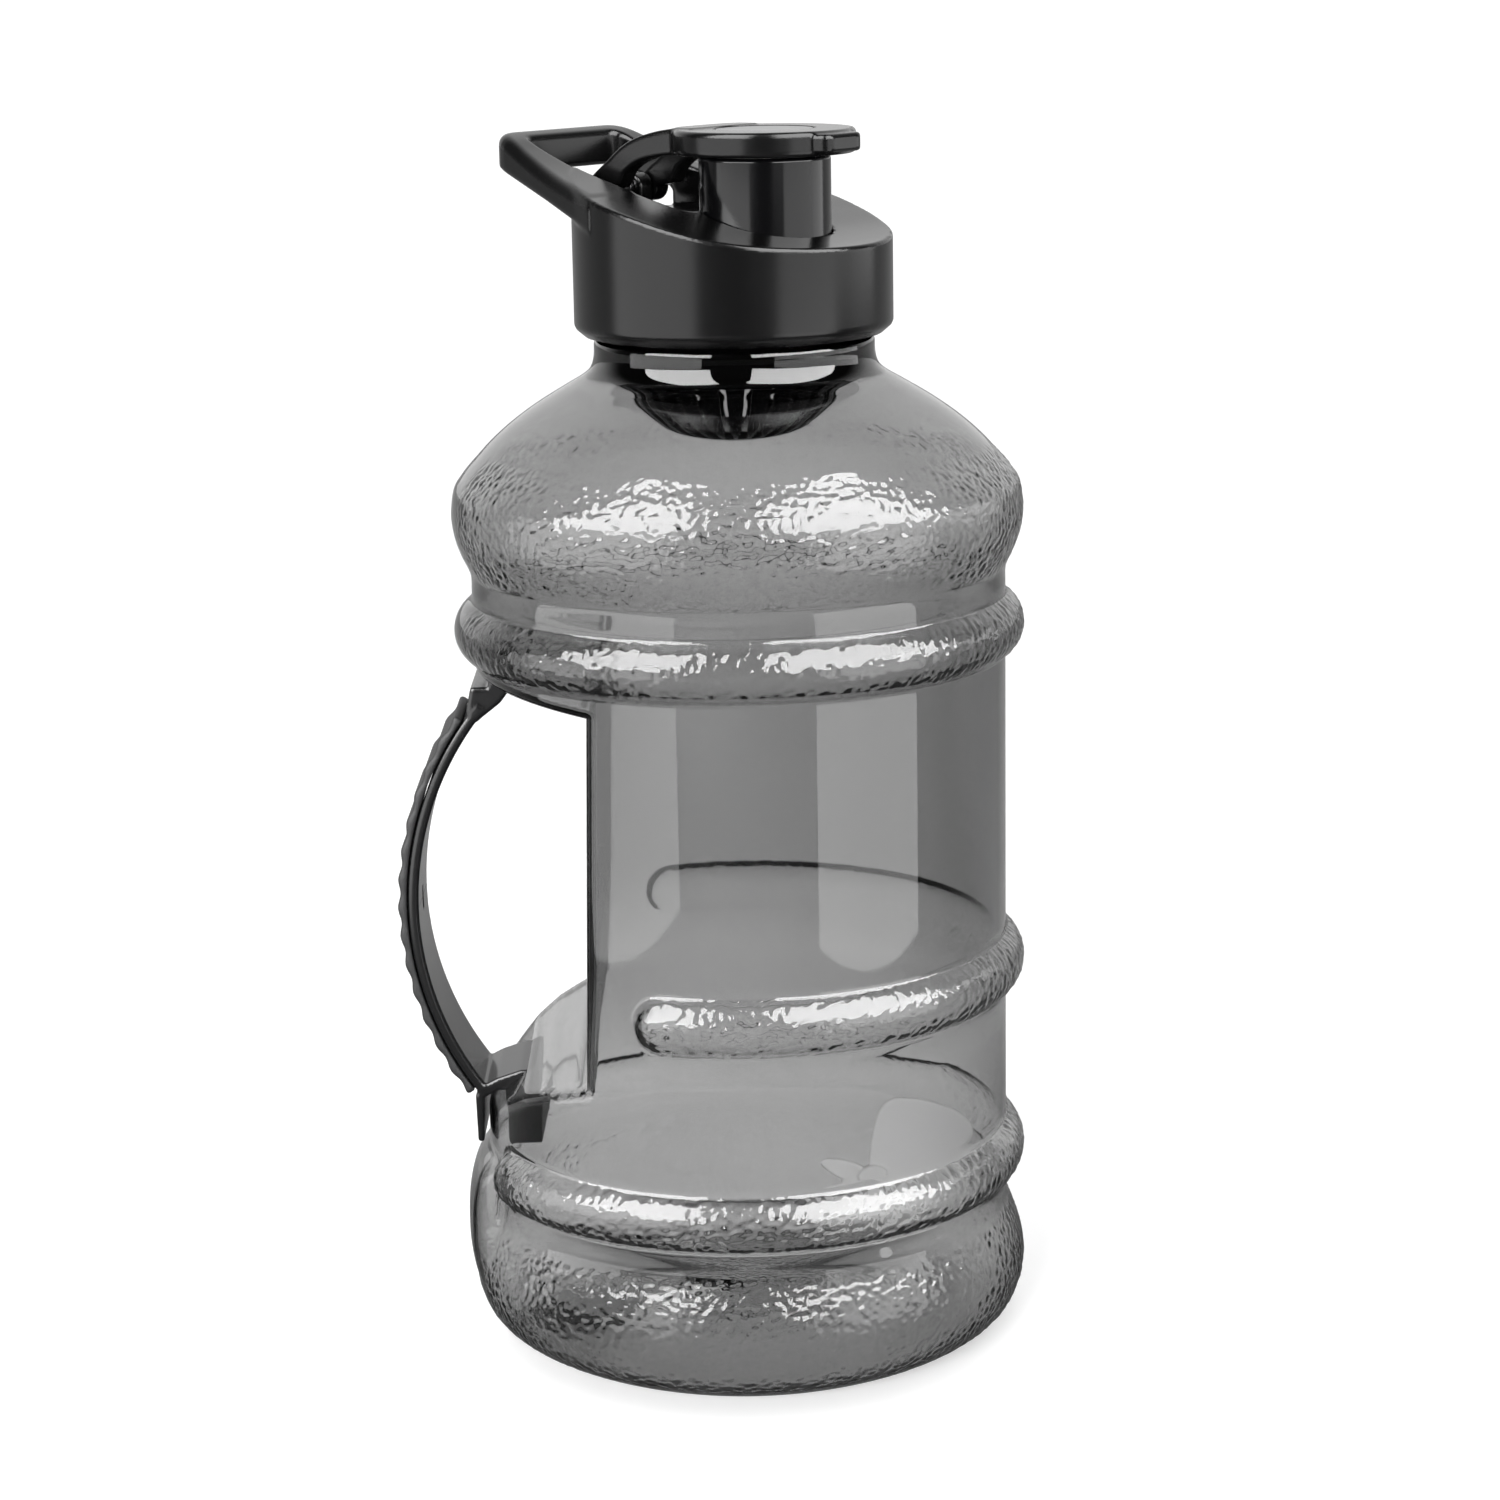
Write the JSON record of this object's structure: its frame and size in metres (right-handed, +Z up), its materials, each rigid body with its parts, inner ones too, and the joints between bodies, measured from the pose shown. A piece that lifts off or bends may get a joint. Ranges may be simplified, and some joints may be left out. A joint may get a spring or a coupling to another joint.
{
  "type": "large water jug",
  "caption": "Clear carry jug with a hand recess and snap-in handle, a screw lid with a carry loop, a spout with a flip cap, a strainer and a mixing star.",
  "frame": {"origin": "on the floor under the middle of the jug's whole width, 7.2 mm from the bottle's own axis towards the handle", "axes": "+Z up through the neck, -X towards the handle, -Y towards the viewer who has the handle on the left"},
  "size_m": [0.1432, 0.1288, 0.2785],
  "materials": {
    "clear_plastic": "smoke-grey clear PETG, smooth walls with hammered rings",
    "handle_plastic": "black hard plastic, satin gloss",
    "grip_rubber": "matt black soft grip with cross waves",
    "strainer_plastic": "glossy black plastic",
    "gasket_silicone": "pale translucent silicone",
    "lid_plastic": "black plastic with a fine spark-eroded grain",
    "spout_plastic": "polished black plastic",
    "pin_steel": "plain steel wire",
    "cap_plastic": "black plastic with a fine grain",
    "badge_plastic": "plain grey disc with a domed clear face",
    "plug_silicone": "pale silicone",
    "star_plastic": "pale translucent plastic"
  },
  "bodies": {
    "jug": {"bottle": "clear_plastic", "handle_frame": "handle_plastic", "handle_grip": "grip_rubber"},
    "basket": {"strainer": "strainer_plastic"},
    "seal": {"lid_gasket": "gasket_silicone"},
    "lid": {"lid_shell": "lid_plastic", "spout": "spout_plastic", "hinge_pin": "pin_steel"},
    "cap": {"flip_cap": "cap_plastic", "cap_badge": "badge_plastic", "cap_plug": "plug_silicone"},
    "mixer": {"mixing_star": "star_plastic"}
  },
  "joints": [
    {"name": "strainer_lift", "type": "slide", "parent": "jug", "child": "basket", "axis": [0, 0, 1], "range_m": [0, 0.045]},
    {"name": "lid_rise", "type": "slide", "parent": "basket", "child": "seal", "axis": [0, 0, 1], "range_m": [0, 0.0076]},
    {"name": "lid_turn", "type": "hinge", "parent": "seal", "child": "lid", "pos_m": [0.0072, 0, 0.24], "axis": [0, 0, 1], "range_deg": [0, 540]},
    {"name": "cap_flip", "type": "hinge", "parent": "lid", "child": "cap", "pos_m": [-0.01693, 0.02025, 0.2643], "axis": [-0.6428, -0.766, 0], "range_deg": [0, 95]},
    {"name": "mixer_rise", "type": "slide", "parent": "jug", "child": "mixer", "axis": [0, 0, 1], "range_m": [0, 0.11]}
  ],
  "couplings": [
    {"joint": "lid_rise", "follows": "lid_turn", "m_per_rad": 0.00079577}
  ]
}
